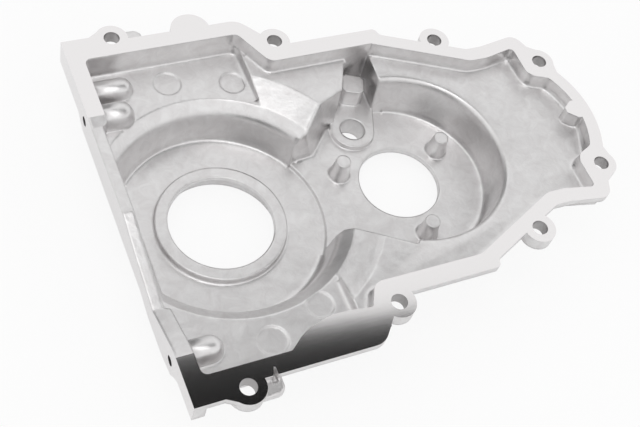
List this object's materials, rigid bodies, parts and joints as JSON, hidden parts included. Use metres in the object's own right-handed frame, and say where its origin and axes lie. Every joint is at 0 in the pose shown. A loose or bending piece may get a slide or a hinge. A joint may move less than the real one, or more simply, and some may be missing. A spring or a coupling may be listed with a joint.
{
  "type": "timing cover",
  "caption": "Front cover of an engine: a ribbed casting with a gasket flange, a dished crankshaft seal opening, a camshaft pocket and an oil pan rail.",
  "frame": {"origin": "centre of the crankshaft opening, in the plane of the gasket face", "axes": "+Y from the crankshaft towards the camshaft, +Z out of the gasket face towards the engine block, +X to the right when looking at the gasket face"},
  "size_m": [0.2686, 0.323, 0.054],
  "materials": {
    "cast_aluminium": "as-cast, with machined gasket face, pan rail, bosses and bores"
  },
  "bodies": {
    "root": {"timing_cover": "cast_aluminium"}
  },
  "joints": []
}
